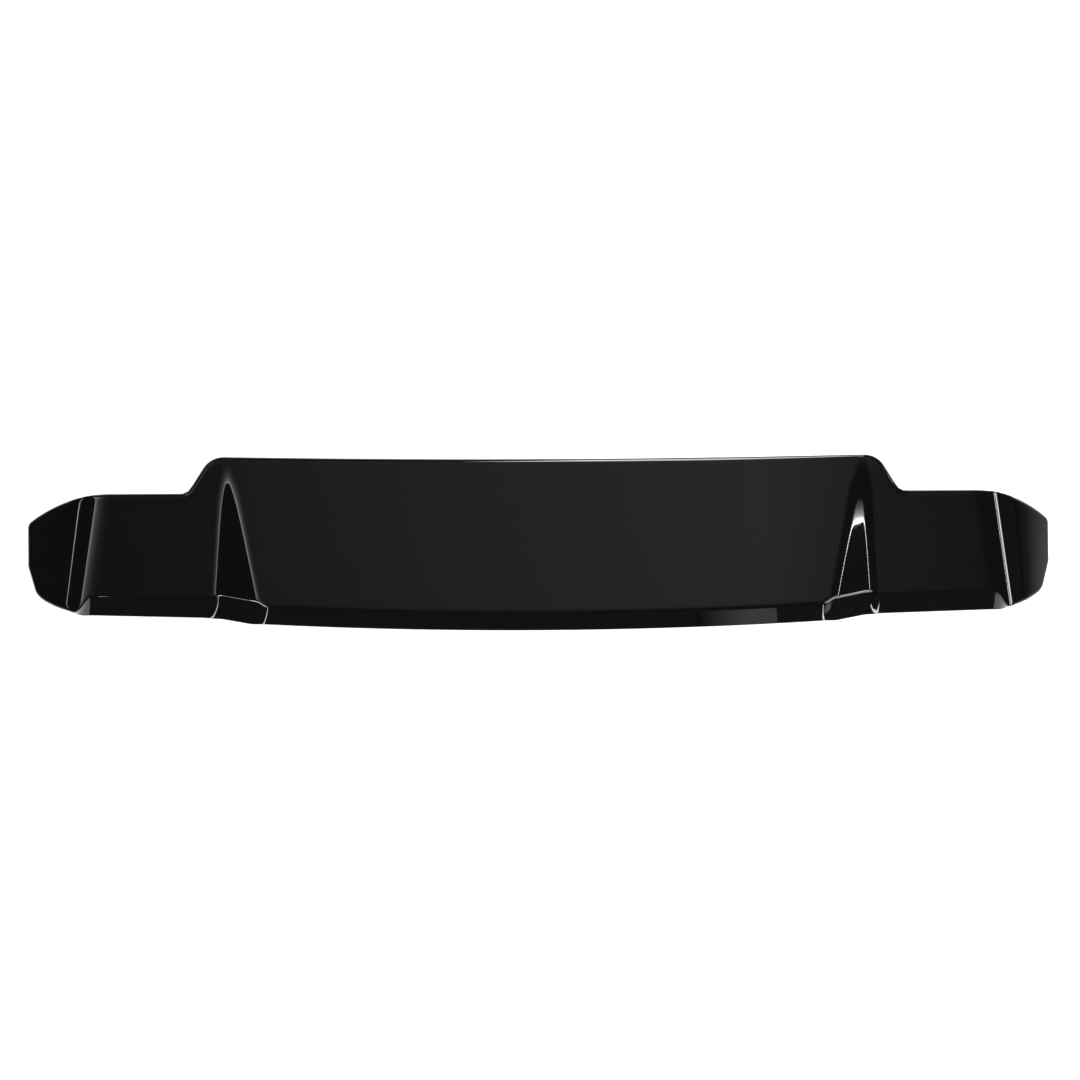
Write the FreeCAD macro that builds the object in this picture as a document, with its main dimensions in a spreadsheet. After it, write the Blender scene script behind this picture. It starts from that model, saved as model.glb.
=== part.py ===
import FreeCAD, Part
import os
import re
import Sketcher

# Driving dimensions in millimetres, with what each one sets
SIZES = [
    ("half_span", 650, "centre line to the end of a tip"),
    ("panel_height", 78, "top of the centre panel above the tips' lower edges"),
    ("crown", 3, "rise of the centre panel from its edges to its middle"),
    ("rim_depth", 22, "height of the skirt around the edge"),
    ("wall", 3.5, "moulded wall thickness"),
    ("front_station", 113.3, "front profile, ahead of the centre"),
    ("rear_station", 123.7, "rear profile, behind the centre"),
    ("tongue_half", 421.4, "half width of the centre tongue at its front edge"),
    ("tongue_front", 110.3, "front edge of the tongue at its corners"),
    ("tongue_bow", 4.8, "how far the front edge runs back at the middle"),
    ("tongue_depth", 45.9, "tongue corner back to the wing's front edge"),
    ("shoulder_run", 29.2, "sideways run of the slanted shoulder"),
    ("corner_radius", 30, "shoulder corners in plan"),
    ("apex_inset", 21.4, "tongue corner in to the ramp's front end"),
    ("apex_width", 6, "ramp width at its front end"),
    ("apex_drop", 0.8, "ramp height at its front end"),
    ("crease_run", 46.5, "inward run of the upper crease, front to rear"),
    ("ramp_width", 67, "ramp width at the rear profile"),
    ("step_drop", 21, "ramp height at the rear profile"),
    ("crease_radius", 40, "rounding along both ramp creases"),
    ("tip_run_front", 89, "width of the sloped tip at the front profile"),
    ("tip_run_rear", 54, "width of the sloped tip at the rear profile"),
    ("tip_radius", 40, "rounding between wing and tip"),
    ("tip_sweep_run", 102, "width of the swept-back front edge of a tip"),
    ("tip_sweep_radius", 167, "radius of that edge in plan"),
    ("fold_mid", 91.3, "fold above the lip, behind the centre"),
    ("trailing_bow", 13.3, "bow of the trailing edge across the centre panel"),
    ("lip_run", 21.6, "rearward run of the lip over the rim depth"),
    ("lip_step", 26.5, "forward step of the lip across a ramp"),
    ("lip_sweep", 4.5, "forward sweep of the lip along a wing"),
    ("knee_run", 9, "tip end in to the knee of its rear edge"),
    ("knee_rise", 57.9, "forward rise of the lip to that knee"),
    ("lip_radius", 60, "rounding of the lip at a ramp"),
    ("tip_corner_radius", 30, "rounding of the lip at a tip"),
    ("end_radius", 9, "rounding of a tip's end in plan"),
    ("end_run", 0.6, "draft of a tip's end face over the rim depth"),
    ("edge_radius", 4.5, "rounding of the whole top edge"),
    ("rib_width", 2.5, "stiffening rib thickness"),
    ("rib_depth", 10, "stiffening rib depth below the skin"),
    ("rib_first", 100, "centre line to the first cross rib"),
    ("rib_pitch", 200, "spacing of the cross ribs"),
    ("boss_diameter", 14, "screw boss"),
    ("boss_front", 62, "front bosses, ahead of the centre"),
    ("boss_rear", 48, "rear bosses, behind the centre"),
    ("boss_lift", 1, "boss seat above the rim's lower edge"),
    ("pilot_diameter", 4.2, "screw pilot hole"),
    ("pilot_depth", 14, "depth of a pilot hole"),
]

NAMES = {alias for alias, _, _ in SIZES}

# How close a point must lie to where an edge is looked for, in millimetres
NEAR = 0.6

# How far a corner of the cavity moves for each millimetre of wall, by the slope or turn there
TIP_CREASE_MITRE = 0.33
TIP_END_MITRE = 0.5
SHOULDER_MITRE = 0.55
LIP_MITRE = 1.4
LIP_CORNER_MITRE = 0.2
TIP_CORNER_MITRE = 0.37
KNEE_MITRE = (0.88, 0.81)
KNEE_END_MITRE = 5.19

# Forward run of a tip's rear edge past its knee, for each millimetre outward
KNEE_SLOPE = 5

doc = FreeCAD.newDocument("rear_spoiler")
vector = FreeCAD.Vector


def make_sheet():
    sheet = doc.addObject("Spreadsheet::Sheet", "sizes")
    for row, (alias, number, note) in enumerate(SIZES, start=1):
        sheet.set("A%d" % row, alias)
        sheet.set("B%d" % row, str(number))
        sheet.set("C%d" % row, note)
        sheet.setAlias("B%d" % row, alias)
    doc.recompute()
    return sheet


sizes = make_sheet()


def cells(text):
    """An expression with each size's name turned into its cell."""
    return re.sub(r"[a-z_]+", lambda m: "sizes." + m[0] if m[0] in NAMES else m[0], text)


def number(text):
    return float(sizes.evalExpression(cells(text)))


def add_sketch(body, name, role, lift="0"):
    """A sketch on one of the body's own origin planes, lifted along its normal."""
    plane = next(f for f in body.Origin.OriginFeatures if f.Role == role)
    sketch = body.newObject("Sketcher::SketchObject", name)
    sketch.AttachmentSupport = [(plane, "")]
    sketch.MapMode = "FlatFace"
    sketch.setExpression("AttachmentOffset.Base.z", cells(lift))
    return sketch


def hold_point(sketch, geo, end, across, along):
    """Dimension a point from the sketch origin, each way by an expression."""
    for kind, axis, text in (("DistanceX", -2, across), ("DistanceY", -1, along)):
        amount = number(text)
        if abs(amount) < 1e-9:
            sketch.addConstraint(Sketcher.Constraint("PointOnObject", geo, end, axis))
        elif amount > 0:
            index = sketch.addConstraint(Sketcher.Constraint(kind, -1, 1, geo, end, amount))
            sketch.setExpression("Constraints[%d]" % index, cells(text))
        else:
            index = sketch.addConstraint(Sketcher.Constraint(kind, geo, end, -1, 1, -amount))
            sketch.setExpression("Constraints[%d]" % index, cells("0 - (%s)" % text))


def arc_between(start, finish, centre):
    """The short arc from start to finish."""
    half = ((start - centre) + (finish - centre)).normalize()
    middle = centre + half * (start - centre).Length
    return Part.Arc(start, middle, finish)


def bowed_centre(start, finish):
    """Centre, on the sketch's upright axis, of an arc through both points."""
    return vector(0, (finish.Length ** 2 - start.Length ** 2) / (2 * (finish.y - start.y)), 0)


def side_between(start, finish, kind):
    """A straight side, or an arc whose centre lies on the upright axis or in line with its start."""
    if kind == "axis":
        return arc_between(start, finish, bowed_centre(start, finish))
    if kind == "start":
        run, fall = finish.x - start.x, start.y - finish.y
        return arc_between(start, finish, vector(start.x, start.y - (run ** 2 + fall ** 2) / (2 * fall), 0))
    return Part.LineSegment(start, finish)


def end_at(sketch, geo, point):
    return 1 if (sketch.getPoint(geo, 1) - point).Length < 1e-4 else 2


def draw_outline(sketch, corners, arcs=None):
    """A closed outline through the corners; arcs names the bowed sides by the corner they start at."""
    arcs = arcs or {}
    points = [vector(number(x), number(y), 0) for x, y in corners]
    for i, start in enumerate(points):
        finish = points[(i + 1) % len(points)]
        sketch.addGeometry(side_between(start, finish, arcs.get(i)), False)
    for i, point in enumerate(points):
        before = (i - 1) % len(points)
        here = end_at(sketch, i, point)
        ends = (before, end_at(sketch, before, point), i, here)
        sketch.addConstraint(Sketcher.Constraint("Coincident", *ends))
        hold_point(sketch, i, here, *corners[i])
    for i, kind in arcs.items():
        if kind == "axis":
            sketch.addConstraint(Sketcher.Constraint("PointOnObject", i, 3, -2))
        else:
            sketch.addConstraint(Sketcher.Constraint("Vertical", i, 3, i, end_at(sketch, i, points[i])))


def profile(inner, outer, tip, drop, inset):
    """Corners of a half profile across the part: the top from the middle to the tip, then the underside back."""
    top = [
        ("0", "panel_height + crown - %s" % inset),
        (inner, "panel_height - %s" % inset),
        (outer, "panel_height - %s - %s" % (drop, inset)),
        ("%s - %s * %s" % (tip, TIP_CREASE_MITRE, inset), "panel_height - %s - %s" % (drop, inset)),
        ("half_span - end_run - %s" % inset, "rim_depth - %s * %s" % (TIP_END_MITRE, inset)),
    ]
    under = [(x, "(%s) - rim_depth" % z) for x, z in reversed(top)]
    under[0] = ("half_span - %s" % inset, under[0][1])
    return top + under


def find_edges(shape, test):
    return ["Edge%d" % (i + 1) for i, edge in enumerate(shape.Edges)
            if len(edge.Vertexes) == 2 and test([v.Point for v in edge.Vertexes])]


def add_fillet(body, name, base, edges, radius):
    if not edges:
        raise RuntimeError("no edge for " + name)
    fillet = body.newObject("PartDesign::Fillet", name)
    fillet.Base = (base, edges)
    fillet.Radius = number(radius)
    fillet.setExpression("Radius", cells(radius))
    doc.recompute()
    return fillet


def crease(shape, front, rear, drop_front, drop_rear, inset):
    """The top edge that runs from the front profile to the rear one at these half widths."""
    ends = [
        vector(number(front), number("front_station"), number("panel_height - %s - %s" % (drop_front, inset))),
        vector(number(rear), -number("rear_station"), number("panel_height - %s - %s" % (drop_rear, inset))),
    ]
    return find_edges(shape, lambda p: all(min((q - e).Length for q in p) < NEAR for e in ends))


def upright(shape, x, run="0"):
    """The steep edges at this half width, or within this run on either side of it."""
    def test(points):
        tall = abs(points[0].z - points[1].z) > number("0.7 * rim_depth")
        return tall and all(abs(p.x - number(x)) < NEAR + number(run) for p in points)
    return find_edges(shape, test)


APEX = "tongue_half - apex_inset"
APEX_OUT = APEX + " + apex_width"
REAR_IN = APEX + " - crease_run"
REAR_OUT = REAR_IN + " + ramp_width"
TIP_FRONT = "half_span - tip_run_front"
TIP_REAR = "half_span - tip_run_rear"
WING_FRONT = "tongue_front - tongue_depth"
LIP_IN = APEX + " - 0.8 * crease_run"
LIP_OUT = APEX_OUT + " + 0.76 * (ramp_width - crease_run - apex_width)"
LIP_TIP = TIP_FRONT + " + 0.81 * (tip_run_front - tip_run_rear)"


def loft_form(body, inset):
    """The band between the front and the rear profile, with its creases rounded."""
    front = add_sketch(body, body.Name + "_front_profile", "XZ_Plane", "0 - front_station")
    draw_outline(front, profile(APEX, APEX_OUT, TIP_FRONT, "apex_drop", inset), {0: "axis", 8: "axis"})
    rear = add_sketch(body, body.Name + "_rear_profile", "XZ_Plane", "rear_station")
    draw_outline(rear, profile(REAR_IN, REAR_OUT, TIP_REAR, "step_drop", inset), {0: "axis", 8: "axis"})
    loft = body.newObject("PartDesign::AdditiveLoft", body.Name + "_band")
    loft.Profile = front
    loft.Sections = [rear]
    loft.Ruled = True
    doc.recompute()
    edges = crease(loft.Shape, APEX, REAR_IN, "0", "0", inset)
    last = add_fillet(body, body.Name + "_upper_crease", loft, edges, "crease_radius - %s" % inset)
    edges = crease(last.Shape, APEX_OUT, REAR_OUT, "apex_drop", "step_drop", inset)
    last = add_fillet(body, body.Name + "_lower_crease", last, edges, "crease_radius + %s" % inset)
    shift = " - %s * %s" % (TIP_CREASE_MITRE, inset)
    edges = crease(last.Shape, TIP_FRONT + shift, TIP_REAR + shift, "apex_drop", "step_drop", inset)
    return add_fillet(body, body.Name + "_tip_crease", last, edges, "tip_radius - %s" % inset)


def make_cutter(sketch, cutter, length, rounds, lean=None):
    """Pad a cutter both ways from its outline, upright or leaned by a run and a rise, and round its corners."""
    pad = cutter.newObject("PartDesign::Pad", cutter.Name + "_pad")
    pad.Profile = sketch
    if lean:
        run, rise = lean
        pad.UseCustomVector = True
        pad.Direction = vector(0, number(run), number(rise))
        pad.setExpression("Direction.y", cells(run))
        pad.setExpression("Direction.z", cells(rise))
    pad.SideType = "Symmetric"
    pad.Length = number(length)
    pad.setExpression("Length", cells(length))
    doc.recompute()
    last = pad
    for x, radius in rounds:
        last = add_fillet(cutter, "%s_round" % cutter.Name, last, upright(last.Shape, x), radius)


def add_trim(body, last, name, cutter):
    """Cut a body with a cutter."""
    cut = body.newObject("PartDesign::Boolean", body.Name + name)
    cut.Type = "Cut"
    cut.setObjects([cutter])
    doc.recompute()
    if cut.Shape.Volume >= last.Shape.Volume:
        raise RuntimeError(cut.Name + " cut nothing")
    return cut


def trim_front(body, last, inset):
    """Cut the band to the front outline: the tongue, its shoulder, the wing and the swept tip."""
    back = " - %s" % inset
    side = " - %s * %s" % (SHOULDER_MITRE, inset)
    radius = "(tip_sweep_radius - %s)" % inset
    sweep = "half_span - tip_sweep_run"
    far = "half_span + rim_depth"
    reach = "tip_sweep_run + rim_depth"
    beyond = "tongue_front + tongue_depth"
    corners = [
        ("0", "tongue_front - tongue_bow" + back),
        ("tongue_half" + side, "tongue_front" + back),
        ("tongue_half + shoulder_run" + side, WING_FRONT + back),
        (sweep, WING_FRONT + back),
        (far, "%s%s - %s + sqrt(%s ^ 2 - (%s) ^ 2)" % (WING_FRONT, back, radius, radius, reach)),
        (far, beyond),
        ("0", beyond),
    ]
    radii = ("corner_radius - %s" % inset, "corner_radius + %s" % inset)
    cutter = doc.addObject("PartDesign::Body", body.Name + "_front_cutter")
    sketch = add_sketch(cutter, body.Name + "_front_outline", "XY_Plane")
    draw_outline(sketch, corners, {0: "axis", 3: "start"})
    make_cutter(sketch, cutter, "4 * panel_height", [(c[0], r) for c, r in zip(corners[1:], radii)])
    return add_trim(body, last, "_front_trim", cutter)


def trim_rear(body, last, inset):
    """Cut the band to the sloped lip, which follows the trailing edge and turns forward at the tip."""
    def shifted(text, mitre):
        return "%s + %s * %s" % (text, mitre, inset)

    y_in = "trailing_bow - fold_mid"
    y_out = y_in + " + lip_step"
    y_tip = y_out + " + lip_sweep"
    y_knee = y_tip + " + knee_rise"
    across, along = KNEE_MITRE
    far = "half_span + knee_run"
    beyond = "0 - 4 * fold_mid"
    corners = [
        ("0", shifted("0 - fold_mid", LIP_MITRE)),
        (shifted(LIP_IN, -LIP_CORNER_MITRE), shifted(y_in, LIP_MITRE)),
        (shifted(LIP_OUT, -LIP_CORNER_MITRE), shifted(y_out, LIP_MITRE)),
        (shifted(LIP_TIP, -TIP_CORNER_MITRE), shifted(y_tip, LIP_MITRE)),
        (shifted("half_span - knee_run", -across), shifted(y_knee, along)),
        (far, shifted("%s + 2 * %s * knee_run" % (y_knee, KNEE_SLOPE), KNEE_END_MITRE)),
        (far, beyond),
        ("0", beyond),
    ]
    radii = ("lip_radius - %s" % inset, "lip_radius + %s" % inset,
             "tip_corner_radius - %s" % inset, "lip_radius - %s" % inset)
    cutter = doc.addObject("PartDesign::Body", body.Name + "_rear_cutter")
    sketch = add_sketch(cutter, body.Name + "_rear_outline", "XY_Plane", "panel_height")
    draw_outline(sketch, corners, {0: "axis"})
    make_cutter(sketch, cutter, "6 * panel_height", [(c[0], r) for c, r in zip(corners[1:], radii)],
                ("lip_run", "rim_depth"))
    return add_trim(body, last, "_rear_trim", cutter)


def round_ends(body, last, inset):
    """Round the steep edges of a tip's end."""
    edges = upright(last.Shape, "half_span - 0.5 * end_run - %s" % inset, "0.5 * end_run")
    return add_fillet(body, body.Name + "_end_rounds", last, edges, "end_radius - %s" % inset)


def half_form(name, inset):
    body = doc.addObject("PartDesign::Body", name)
    last = loft_form(body, inset)
    last = trim_front(body, last, inset)
    last = trim_rear(body, last, inset)
    return body, round_ends(body, last, inset)


def round_top_edge(body, last):
    """Round the top edge; one edge is named, and the rounding runs on along the smooth outline."""
    middle = vector(0, number("crown * lip_run / rim_depth - fold_mid"), number("panel_height + crown"))

    def test(points):
        return min((p - middle).Length for p in points) < NEAR and max(p.x for p in points) > number("wall")
    return add_fillet(body, body.Name + "_edge", last, find_edges(last.Shape, test), "edge_radius")


def draw_box(sketch, left, right, rear, front):
    draw_outline(sketch, [(left, rear), (right, rear), (right, front), (left, front)])


def draw_circles(sketch, places, diameter):
    for x, y in places:
        centre = vector(number(x), number(y), 0)
        geo = sketch.addGeometry(Part.Circle(centre, vector(0, 0, 1), number(diameter) / 2), False)
        hold_point(sketch, geo, 3, x, y)
        index = sketch.addConstraint(Sketcher.Constraint("Diameter", geo, number(diameter)))
        sketch.setExpression("Constraints[%d]" % index, cells(diameter))


def add_pad(body, name, sketch, length):
    pad = body.newObject("PartDesign::Pad", name)
    pad.Profile = sketch
    pad.Length = number(length)
    pad.setExpression("Length", cells(length))
    doc.recompute()
    return pad


def make_stiffeners():
    """Ribs and screw bosses under one half of the centre panel, tall enough to end inside the skin."""
    body = doc.addObject("PartDesign::Body", "stiffeners")
    rib_foot = "panel_height - wall - rib_depth"
    rib_tall = "rib_depth + wall + crown"
    long_rib = add_sketch(body, "long_rib_outline", "XY_Plane", rib_foot)
    draw_box(long_rib, "0 - 2 * rib_width", "tongue_half", "0 - 0.5 * rib_width", "0.5 * rib_width")
    add_pad(body, "long_rib", long_rib, rib_tall)
    cross_rib = add_sketch(body, "cross_rib_outline", "XY_Plane", rib_foot)
    draw_box(cross_rib, "rib_first - 0.5 * rib_width", "rib_first + 0.5 * rib_width",
             "0 - fold_mid - lip_run", "tongue_front")
    rib = add_pad(body, "cross_rib", cross_rib, rib_tall)
    ribs = body.newObject("PartDesign::LinearPattern", "cross_ribs")
    ribs.Originals = [rib]
    ribs.Direction = (cross_rib, ["H_Axis"])
    ribs.Length = number("rib_pitch")
    ribs.setExpression("Length", cells("rib_pitch"))
    ribs.Occurrences = 2
    body.Tip = ribs
    doc.recompute()
    places = [("rib_first + rib_pitch", "boss_front"), ("rib_first + rib_pitch", "0 - boss_rear")]
    seat = "panel_height - rim_depth + boss_lift"
    bosses = add_sketch(body, "boss_circles", "XY_Plane", seat)
    draw_circles(bosses, places, "boss_diameter")
    pad = add_pad(body, "bosses", bosses, "rim_depth - boss_lift + crown")
    pilots = add_sketch(body, "pilot_circles", "XY_Plane", seat)
    draw_circles(pilots, places, "pilot_diameter")
    holes = body.newObject("PartDesign::Pocket", "pilot_holes")
    holes.Profile = pilots
    holes.Reversed = True
    holes.Length = number("pilot_depth")
    holes.setExpression("Length", cells("pilot_depth"))
    doc.recompute()
    if holes.Shape.Volume >= pad.Shape.Volume:
        raise RuntimeError("pilot holes cut nothing")
    return body


def add_cut(name, base, tool):
    cut = doc.addObject("Part::Cut", name)
    cut.Base = base
    cut.Tool = tool
    doc.recompute()
    return cut


def mirror_whole(half):
    """The half and its mirror image in one piece."""
    mirror = doc.addObject("Part::Mirroring", "left_half")
    mirror.Source = half
    mirror.Normal = vector(1, 0, 0)
    whole = doc.addObject("Part::Fuse", "spoiler_shell")
    whole.Base = half
    whole.Tool = mirror
    whole.Refine = True
    doc.recompute()
    whole.Label = "spoiler_shell"
    return whole


def check_document():
    for item in doc.Objects:
        if "Invalid" in item.State or "Error" in item.State:
            raise RuntimeError("%s failed: %s" % (item.Name, item.State))
        if hasattr(item, "Shape") and item.TypeId.startswith("Part"):
            if item.Shape.isNull() or not item.Shape.isValid():
                raise RuntimeError(item.Name + " has no valid shape")


def export(item):
    solids = item.Shape.Solids
    if len(solids) != 1:
        raise RuntimeError("%s is %d solids" % (item.Label, len(solids)))
    os.makedirs("parts", exist_ok=True)
    item.Shape.exportStep("parts/%s.step" % item.Label)
    box = item.Shape.optimalBoundingBox()
    print(item.Label, "%.0f mm3" % item.Shape.Volume, len(item.Shape.Faces), "faces")
    print("x %.2f to %.2f, y %.2f to %.2f, z %.2f to %.2f"
          % (box.XMin, box.XMax, box.YMin, box.YMax, box.ZMin, box.ZMax))


# The outer form, hollowed by a cavity that leaves the wall, the ribs and the bosses standing
outer, last = half_form("outer", "0")
round_top_edge(outer, last)
cavity, last = half_form("cavity", "wall")
hollow = add_cut("hollow", cavity, make_stiffeners())
spoiler = mirror_whole(add_cut("right_half", outer, hollow))
check_document()
export(spoiler)
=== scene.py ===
"""Rear spoiler: one glossy black moulded shell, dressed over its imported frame."""
import math

import bpy
import numpy as np
from bpy.props import FloatProperty, FloatVectorProperty, PointerProperty
from mathutils import Matrix, Vector


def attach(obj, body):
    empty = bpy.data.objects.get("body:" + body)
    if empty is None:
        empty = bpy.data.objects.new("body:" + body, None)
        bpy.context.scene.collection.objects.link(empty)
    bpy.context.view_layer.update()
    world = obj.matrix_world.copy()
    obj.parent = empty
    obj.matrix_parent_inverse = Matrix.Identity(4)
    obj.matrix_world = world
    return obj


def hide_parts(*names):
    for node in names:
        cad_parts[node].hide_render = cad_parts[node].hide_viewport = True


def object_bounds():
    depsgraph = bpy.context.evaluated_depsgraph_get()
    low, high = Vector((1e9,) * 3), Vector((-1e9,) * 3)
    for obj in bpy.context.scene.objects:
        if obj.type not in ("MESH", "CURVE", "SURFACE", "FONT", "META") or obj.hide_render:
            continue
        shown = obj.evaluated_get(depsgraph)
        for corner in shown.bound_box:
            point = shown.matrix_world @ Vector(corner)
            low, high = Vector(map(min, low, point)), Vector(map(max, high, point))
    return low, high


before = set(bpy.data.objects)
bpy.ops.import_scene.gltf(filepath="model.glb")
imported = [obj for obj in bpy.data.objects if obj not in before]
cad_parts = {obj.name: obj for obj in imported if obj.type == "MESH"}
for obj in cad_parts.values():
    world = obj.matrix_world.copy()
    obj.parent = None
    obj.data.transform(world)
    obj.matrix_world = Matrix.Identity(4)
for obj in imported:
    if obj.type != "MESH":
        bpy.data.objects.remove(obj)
CAD_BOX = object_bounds()

bl_info = {
    "name": "Rear spoiler",
    "version": (1, 0, 0),
    "blender": (4, 5, 0),
    "location": "3D View > Sidebar > Spoiler",
    "description": "Builds a glossy moulded rear spoiler and the plain studio around it",
    "category": "Object",
}

MM = 0.001
NODE = "spoiler_shell"
BODY = "root"

# The photograph's frame in pixels, and the camera that fits it
IMAGE_SIDE = 1080
FOCAL_PIXELS = 5497


def colour(hex_code):
    """An sRGB hex value as linear red, green and blue."""
    channels = [int(hex_code[i:i + 2], 16) / 255 for i in (1, 3, 5)]
    return tuple(c / 12.92 if c <= 0.04045 else ((c + 0.055) / 1.055) ** 2.4 for c in channels)


def length(label, size, note):
    """A length property, given in millimetres and kept in metres."""
    return FloatProperty(name=label, description=note, default=size * MM, unit="LENGTH", precision=4)


def angle(label, degrees, note):
    """An angle property, given in degrees."""
    return FloatProperty(name=label, description=note, default=math.radians(degrees), subtype="ANGLE")


def tint(label, hex_code, note):
    """A colour property, given as an sRGB hex value."""
    return FloatVectorProperty(name=label, description=note, default=colour(hex_code), subtype="COLOR",
                               size=3, min=0, max=1)


class SpoilerForm(bpy.types.PropertyGroup):
    """Sizes of the moulded shell."""
    half_span: length("Half span", CAD_BOX[1].x / MM, "Centre line to the end of a tip")
    crown: length("Crown", 3, "Rise of the centre panel from its edges to its middle")
    rim_depth: length("Rim depth", 22, "Height of the skirt around the edge")
    wall: length("Wall", 3.5, "Moulded wall thickness")
    front_station: length("Front station", 113.3, "Front profile, ahead of the centre")
    rear_station: length("Rear station", 123.7, "Rear profile, behind the centre")
    tongue_half: length("Tongue half width", 421.4, "Half width of the centre tongue at its front edge")
    tongue_front: length("Tongue front", 110.3, "Front edge of the tongue at its corners")
    tongue_bow: length("Tongue bow", 4.8, "How far the front edge runs back at the middle")
    tongue_depth: length("Tongue depth", 45.9, "Tongue corner back to the wing's front edge")
    shoulder_run: length("Shoulder run", 29.2, "Sideways run of the slanted shoulder")
    corner_radius: length("Corner radius", 30, "Tongue corners in plan")
    notch_radius: length("Notch radius", 14, "Inner corners between tongue and wing")
    apex: length("Ramp apex", 400, "Half width of the upper crease at the front profile")
    apex_width: length("Apex width", 6, "Ramp width at its front end")
    apex_drop: length("Apex drop", 0.8, "Ramp height at its front end")
    crease_run: length("Crease run", 46.5, "Inward run of the upper crease, front to rear")
    ramp_width: length("Ramp width", 67, "Ramp width at the rear profile")
    step_drop: length("Step drop", 21, "Ramp height at the rear profile")
    crease_radius: length("Crease radius", 40, "Rounding along both ramp creases")
    tip_run_front: length("Tip run, front", 89, "Width of the sloped tip at the front profile")
    tip_run_rear: length("Tip run, rear", 54, "Width of the sloped tip at the rear profile")
    tip_lead: length("Tip lead", 24, "How far in on the wing the turn to the tip begins")
    tip_trail: length("Tip trail", 10, "How far out on the tip that turn ends")
    tip_sweep_run: length("Tip sweep run", 102, "Width of the swept-back front edge of a tip")
    tip_sweep_radius: length("Tip sweep radius", 167, "Radius of that edge in plan")
    fold_mid: length("Fold at middle", 91.3, "Fold above the lip, behind the centre")
    trailing_bow: length("Trailing bow", 13.3, "Bow of the trailing edge across the centre panel")
    lip_run: length("Lip run", 21.6, "Rearward run of the lip over the rim depth")
    lip_ramp: length("Lip run on a ramp", 5, "Extra rearward run of the lip across a ramp")
    lip_ease: length("Lip ease", 16, "Width over which that extra run comes in")
    lip_step: length("Lip step", 26.5, "Forward step of the lip across a ramp")
    lip_sweep: length("Lip sweep", 4.5, "Forward sweep of the lip along a wing")
    lip_radius: length("Lip radius", 60, "Rounding of the lip at a ramp")
    lip_start: length("Lip start", 79, "Tip end in to where the lip has its full run")
    lip_end: length("Lip end", 56, "Tip end in to where the lip has run out")
    tip_belly: length("Tip belly", 4, "How far a tip's rear edge swells behind the lip's line")
    knee_run: length("Knee run", 9, "Tip end in to the knee of its rear edge")
    knee_rise: length("Knee rise", 57.9, "Forward rise of the lip to that knee")
    tip_corner_radius: length("Tip corner radius", 30, "Rounding of the lip at a tip")
    end_radius: length("End radius", 9, "Rounding of a tip's end in plan")
    end_run: length("End run", 0.6, "Draft of a tip's end face over the rim depth")
    edge_radius: length("Edge radius", 4.5, "Rounding of the top edge")
    fold_radius: length("Fold radius", 8, "Rounding of the fold above the lip")
    tip_bulge: length("Tip bulge", 1.5, "How far a tip's slope swells above a straight line")
    rim_radius: length("Rim radius", 0.6, "Rounding of the skirt's lower edge")

    @property
    def panel_height(self):
        return CAD_BOX[1].z - self.crown


class UndersideForm(bpy.types.PropertyGroup):
    """Sizes of the ribs and screw bosses under the centre panel."""
    rib_width: length("Rib width", 2.5, "Stiffening rib thickness")
    rib_depth: length("Rib depth", 10, "Stiffening rib depth below the skin")
    rib_first: length("First rib", 100, "Centre line to the first cross rib")
    rib_pitch: length("Rib pitch", 200, "Spacing of the cross ribs")
    boss_diameter: length("Boss diameter", 14, "Screw boss")
    boss_side: length("Boss side", 300, "Centre line to a boss")
    boss_front: length("Front bosses", 62, "Front bosses, ahead of the centre")
    boss_rear: length("Rear bosses", 48, "Rear bosses, behind the centre")
    boss_lift: length("Boss lift", 1, "Boss seat above the rim's lower edge")
    pilot_diameter: length("Pilot diameter", 4.2, "Screw pilot hole")
    pilot_depth: length("Pilot depth", 14, "Depth of a pilot hole")


class SpoilerFinish(bpy.types.PropertyGroup):
    """Colours of the two moulded surfaces."""
    gloss: tint("Gloss side", "#08080a", "Polished side of the moulding")
    gloss_flow: tint("Gloss flow", "#0b0b0d", "Faint lighter clouds left by the flow of the melt")
    satin: tint("Satin side", "#131315", "Unpolished underside")
    satin_flow: tint("Satin flow", "#1a1a1c", "Lighter grain of the underside")


class StageForm(bpy.types.PropertyGroup):
    """The camera's place and the studio's size."""
    camera_side: angle("Camera side", 5.15, "How far the camera stands to the left of the panel's normal")
    camera_rear: angle("Camera rear", 3.07, "How far the camera stands behind the panel's normal")
    camera_roll: angle("Camera roll", -0.32, "Turn of the picture about the line of sight")
    camera_distance: length("Camera distance", 6931, "Camera to the aim point")
    aim_forward: length("Aim forward", 1.3, "Aim point ahead of the origin")
    aim_height: length("Aim height", 60, "Height of the aim point above the floor")
    offset_across: FloatProperty(name="Offset across", description="Picture offset to the right, in pixels",
                                 default=5.32)
    offset_down: FloatProperty(name="Offset down", description="Picture offset downwards, in pixels",
                               default=2.34)
    floor_side: length("Floor side", 16000, "Side of the square floor")
    ceiling_height: length("Ceiling height", 8000, "Height of the light panels")
    floor_colour: tint("Floor", "#f4f4f4", "Plain pale floor")


# The form: height of the top skin and the outline in plan, by formula

# A ramp sinks in over the first share of its depth, where its creases are also softer
APEX_FADE = 0.14
APEX_SOFT = 0.3
APEX_SOFTENING = 0.9

# Shares of the way from the front profile to the rear one at which the lip turns onto a ramp, off it,
# and at a tip
LIP_IN, LIP_OUT, LIP_TIP = 0.8, 0.76, 0.81

# Shares of the lip's ease by which its extra lean begins before a ramp and ends after it
EASE_IN, EASE_OUT = 0.8, 0.5

# How much tighter the top edge's round is where the lip runs out and the edge turns sharply
RUN_OUT_TIGHT = 0.55

# The lip's last run, past the knee, goes this many times as far forward as the knee lies from the end
KNEE_AIM = 10

# Points along the bowed middle edges, a tip's swept edge and the whole fold
BOW_POINTS, SWEEP_POINTS, FOLD_POINTS = 30, 40, 500

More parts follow.
